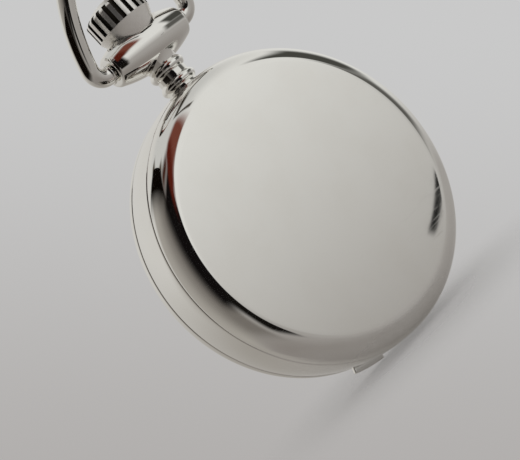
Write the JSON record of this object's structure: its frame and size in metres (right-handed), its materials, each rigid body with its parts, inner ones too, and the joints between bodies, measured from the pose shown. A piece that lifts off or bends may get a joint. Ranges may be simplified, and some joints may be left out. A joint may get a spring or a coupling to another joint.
{
  "type": "pocket watch",
  "caption": "Open face pocket watch: polished case with hinged back and bezel, beaded pendant, fluted crown and bow, over a geared, stem-wound lever movement.",
  "frame": {"origin": "the inside of the bow at its top, where the watch hangs", "axes": "+Z from the case up towards the pendant, the dial faces -Y, the back faces +Y, 3 o'clock is towards +X"},
  "size_m": [0.0471, 0.0132, 0.0715],
  "materials": {
    "case_metal": "mirror-polished nickel or silver",
    "crystal_glass": "clear, polished",
    "dial_enamel": "white fired enamel, glossy",
    "gilt_plate": "frosted gilt",
    "wheel_brass": "polished",
    "steel": "polished",
    "blued_steel": "heat-blued",
    "ruby": "polished"
  },
  "bodies": {
    "case": {"mid_case": "case_metal", "pendant": "case_metal", "back_hinge_pin": "case_metal", "bezel_hinge_pin": "case_metal", "case_screws": "steel", "mainplate": "gilt_plate", "barrel_bridge": "gilt_plate", "train_bridge": "gilt_plate", "balance_cock": "gilt_plate", "pallet_bridge": "gilt_plate", "bridge_screws": "blued_steel", "jewels": "ruby", "dial": "dial_enamel", "crown_wheel_screw": "blued_steel", "click": "steel", "click_spring": "steel", "click_screw": "blued_steel", "setting_lever_screw": "blued_steel", "yoke_screw": "blued_steel", "regulator": "steel"},
    "back": {"back_cover": "case_metal"},
    "front": {"bezel": "case_metal", "crystal": "crystal_glass"},
    "bow": {"bow": "case_metal"},
    "pinion": {"winding_pinion": "steel"},
    "crown": {"crown": "case_metal", "winding_stem": "steel"},
    "clutch": {"clutch_wheel": "steel"},
    "setting_lever": {"setting_lever": "steel"},
    "yoke": {"yoke": "steel"},
    "crown_wheel": {"crown_wheel": "steel"},
    "ratchet": {"ratchet_wheel": "steel", "ratchet_screw": "blued_steel", "barrel_arbor": "steel"},
    "barrel": {"barrel_drum": "wheel_brass", "barrel_cover": "wheel_brass", "mainspring": "steel"},
    "centre": {"centre_wheel": "wheel_brass"},
    "third": {"third_wheel": "wheel_brass"},
    "seconds": {"fourth_wheel": "wheel_brass", "seconds_hand": "blued_steel"},
    "escape": {"escape_wheel": "steel"},
    "pallets": {"pallet_fork": "steel", "pallet_stones": "ruby"},
    "balance": {"balance_wheel": "wheel_brass", "balance_staff": "steel", "roller": "steel", "hairspring": "blued_steel"},
    "minute": {"cannon_pinion": "steel", "minute_hand": "blued_steel"},
    "minute_wheel": {"minute_wheel": "wheel_brass"},
    "hour": {"hour_wheel": "wheel_brass", "hour_hand": "blued_steel"},
    "setting_wheel": {"setting_wheel": "wheel_brass"}
  },
  "joints": [
    {"name": "back_open", "type": "hinge", "parent": "case", "child": "back", "pos_m": [-0.023, -0.00344, -0.04516], "axis": [0, 0, 1], "range_deg": [0, 100]},
    {"name": "front_open", "type": "hinge", "parent": "case", "child": "front", "pos_m": [-0.023, -0.00784, -0.04516], "axis": [0, 0, -1], "range_deg": [0, 100]},
    {"name": "bow_swing", "type": "hinge", "parent": "case", "child": "bow", "pos_m": [0, -0.00564, -0.01396], "axis": [-1, 0, 0], "range_deg": [-164, 120]},
    {"name": "crown_turn", "type": "hinge", "parent": "case", "child": "pinion", "pos_m": [0, -0.00564, -0.03026], "axis": [0, 0, 1], "continuous": true},
    {"name": "crown_pull", "type": "slide", "parent": "pinion", "child": "crown", "axis": [0, 0, 1], "range_m": [0, 0.0009]},
    {"name": "clutch_shift", "type": "slide", "parent": "pinion", "child": "clutch", "axis": [0, 0, 1], "range_m": [-0.0005, 0]},
    {"name": "setting_lever_turn", "type": "hinge", "parent": "case", "child": "setting_lever", "pos_m": [0.005, -0.00564, -0.02866], "axis": [0, -1, 0], "range_deg": [-10.6, 0]},
    {"name": "yoke_turn", "type": "hinge", "parent": "case", "child": "yoke", "pos_m": [-0.0062, -0.00564, -0.03271], "axis": [0, -1, 0], "range_deg": [-6, 0]},
    {"name": "crown_wheel_turn", "type": "hinge", "parent": "case", "child": "crown_wheel", "pos_m": [0, -0.00564, -0.03506], "axis": [0, -1, 0], "continuous": true},
    {"name": "ratchet_turn", "type": "hinge", "parent": "case", "child": "ratchet", "pos_m": [-0.00794, -0.00564, -0.04281], "axis": [0, -1, 0], "continuous": true},
    {"name": "seconds_turn", "type": "hinge", "parent": "case", "child": "seconds", "pos_m": [0, -0.00564, -0.05366], "axis": [0, 1, 0], "continuous": true},
    {"name": "third_turn", "type": "hinge", "parent": "case", "child": "third", "pos_m": [0.00533, -0.00564, -0.05001], "axis": [0, 1, 0], "continuous": true},
    {"name": "centre_turn", "type": "hinge", "parent": "case", "child": "centre", "pos_m": [0, -0.00564, -0.04516], "axis": [0, 1, 0], "continuous": true},
    {"name": "barrel_turn", "type": "hinge", "parent": "case", "child": "barrel", "pos_m": [-0.00794, -0.00564, -0.04281], "axis": [0, 1, 0], "continuous": true},
    {"name": "escape_turn", "type": "hinge", "parent": "case", "child": "escape", "pos_m": [-0.00181, -0.00564, -0.05863], "axis": [0, 1, 0], "continuous": true},
    {"name": "pallet_swing", "type": "hinge", "parent": "case", "child": "pallets", "pos_m": [-0.00472, -0.00564, -0.05708], "axis": [0, 1, 0], "range_deg": [-4, 4]},
    {"name": "balance_swing", "type": "hinge", "parent": "case", "child": "balance", "pos_m": [-0.0079, -0.00564, -0.05539], "axis": [0, 1, 0], "range_deg": [-270, 270]},
    {"name": "minute_turn", "type": "hinge", "parent": "case", "child": "minute", "pos_m": [0, -0.00564, -0.04516], "axis": [0, 1, 0], "continuous": true},
    {"name": "minute_wheel_turn", "type": "hinge", "parent": "case", "child": "minute_wheel", "pos_m": [0.00146, -0.00564, -0.04161], "axis": [0, 1, 0], "continuous": true},
    {"name": "hour_turn", "type": "hinge", "parent": "case", "child": "hour", "pos_m": [0, -0.00564, -0.04516], "axis": [0, 1, 0], "continuous": true},
    {"name": "setting_wheel_turn", "type": "hinge", "parent": "case", "child": "setting_wheel", "pos_m": [0, -0.00564, -0.03687], "axis": [0, 1, 0], "continuous": true}
  ],
  "couplings": [
    {"joint": "crown_wheel_turn", "follows": "crown_turn", "ratio": 0.53846},
    {"joint": "ratchet_turn", "follows": "crown_turn", "ratio": -0.35},
    {"joint": "clutch_shift", "follows": "crown_pull", "ratio": -0.55556},
    {"joint": "setting_lever_turn", "follows": "crown_pull", "rad_per_m": -200},
    {"joint": "yoke_turn", "follows": "crown_pull", "rad_per_m": -110},
    {"joint": "third_turn", "follows": "seconds_turn", "ratio": -0.13333},
    {"joint": "centre_turn", "follows": "seconds_turn", "ratio": 0.016667},
    {"joint": "barrel_turn", "follows": "seconds_turn", "ratio": -0.0025641},
    {"joint": "escape_turn", "follows": "seconds_turn", "ratio": -10},
    {"joint": "minute_wheel_turn", "follows": "minute_turn", "ratio": -0.33333},
    {"joint": "hour_turn", "follows": "minute_turn", "ratio": 0.083333},
    {"joint": "setting_wheel_turn", "follows": "minute_turn", "ratio": 0.46154}
  ]
}
